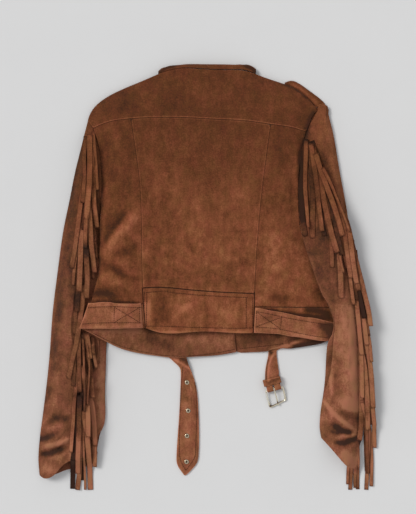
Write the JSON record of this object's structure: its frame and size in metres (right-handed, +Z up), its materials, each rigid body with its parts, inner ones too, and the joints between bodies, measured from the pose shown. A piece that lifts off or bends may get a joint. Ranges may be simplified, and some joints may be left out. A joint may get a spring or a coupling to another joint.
{
  "type": "fringed suede jacket",
  "caption": "Cropped suede jacket lying on its front, with hollow sleeves fringed along their length and a belt with a buckle at the hem.",
  "frame": {"origin": "on the surface below the middle of the jacket as it lies on its front", "axes": "+X to the right across the back, +Y from hem to collar, +Z up out of the back"},
  "size_m": [0.5781, 0.7267, 0.0469],
  "materials": {
    "suede": "brown suede with a soft mottled nap",
    "suede_inside": "rough inner side of brown suede",
    "suede_fringe": "cut strips of brown suede",
    "suede_belt": "double layer of brown suede, edge stitched",
    "pale_gold": "pale gold plating, satin"
  },
  "bodies": {
    "root": {"back_yoke": "suede", "back_centre": "suede", "back_side_left": "suede", "back_side_right": "suede", "hem_band_left": "suede", "hem_band_right": "suede", "waistband": "suede", "collar": "suede", "epaulette_left": "suede", "epaulette_right": "suede", "sleeve_left": "suede", "sleeve_left_under": "suede", "sleeve_right": "suede", "sleeve_right_under": "suede", "front_left": "suede_inside", "front_right": "suede_inside", "fringe_left": "suede_fringe", "fringe_right": "suede_fringe", "fringe_right_cuff": "suede_fringe", "belt_left": "suede_belt", "belt_right": "suede_belt", "belt_keeper": "suede_belt", "eyelet_1": "pale_gold", "eyelet_2": "pale_gold", "eyelet_3": "pale_gold", "eyelet_4": "pale_gold"},
    "buckle": {"buckle_frame": "pale_gold"},
    "prong": {"buckle_prong": "pale_gold"}
  },
  "joints": [
    {"name": "buckle_swing", "type": "hinge", "parent": "root", "child": "buckle", "pos_m": [0.1129, -0.1902, 0.0065], "axis": [-0.9655, -0.2605, 0], "range_deg": [0, 75]},
    {"name": "prong_swing", "type": "hinge", "parent": "buckle", "child": "prong", "pos_m": [0.1129, -0.1902, 0.0065], "axis": [-0.9655, -0.2605, 0], "range_deg": [0, 45]}
  ]
}
